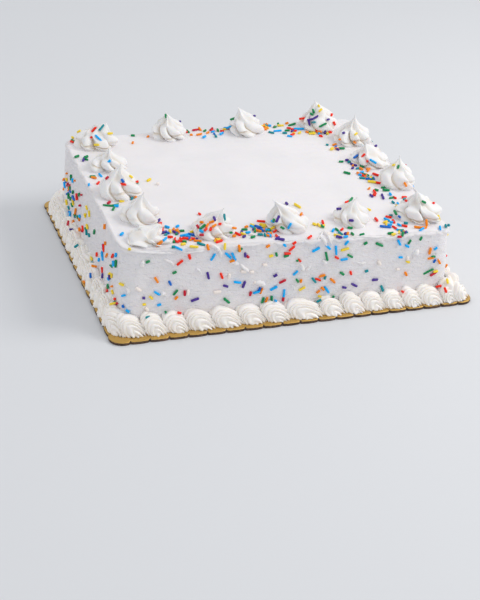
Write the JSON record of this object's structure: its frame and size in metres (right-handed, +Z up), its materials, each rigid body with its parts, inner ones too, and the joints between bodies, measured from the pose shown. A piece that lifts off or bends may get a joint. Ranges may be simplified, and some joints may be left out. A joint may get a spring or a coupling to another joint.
{
  "type": "frosted sheet cake",
  "caption": "Rectangular sheet cake in white whipped frosting with piped rosettes round its top, a piped shell border at its foot and coloured sprinkles, on a scalloped gold board.",
  "frame": {"origin": "middle of the underside of the cake board", "axes": "+X to the right along the front edge of the board, +Y to the back, +Z up"},
  "size_m": [0.356, 0.305, 0.1098],
  "materials": {
    "white_frosting": "soft satin whipped frosting with fine grain and faint spatula streaks",
    "piped_rosettes": "smooth satin whipped frosting",
    "piped_shells": "smooth satin cream frosting, warmer in its grooves",
    "gold_board": "gold foil laminate on card, with a dark brown cut edge",
    "sprinkles": "satin sugar strands in mixed colours"
  },
  "bodies": {
    "root": {"cake_board": "gold_board", "cake_body": "white_frosting", "border_front": "piped_shells", "border_right": "piped_shells", "border_back": "piped_shells", "border_left": "piped_shells", "rosette_back_1": "piped_rosettes", "rosette_back_2": "piped_rosettes", "rosette_back_3": "piped_rosettes", "rosette_back_4": "piped_rosettes", "rosette_right_1": "piped_rosettes", "rosette_right_2": "piped_rosettes", "rosette_right_3": "piped_rosettes", "rosette_front_1": "piped_rosettes", "rosette_front_2": "piped_rosettes", "rosette_front_3": "piped_rosettes", "rosette_front_4": "piped_rosettes", "rosette_front_5": "piped_rosettes", "rosette_left_1": "piped_rosettes", "rosette_left_2": "piped_rosettes", "rosette_left_3": "piped_rosettes"}
  },
  "joints": []
}
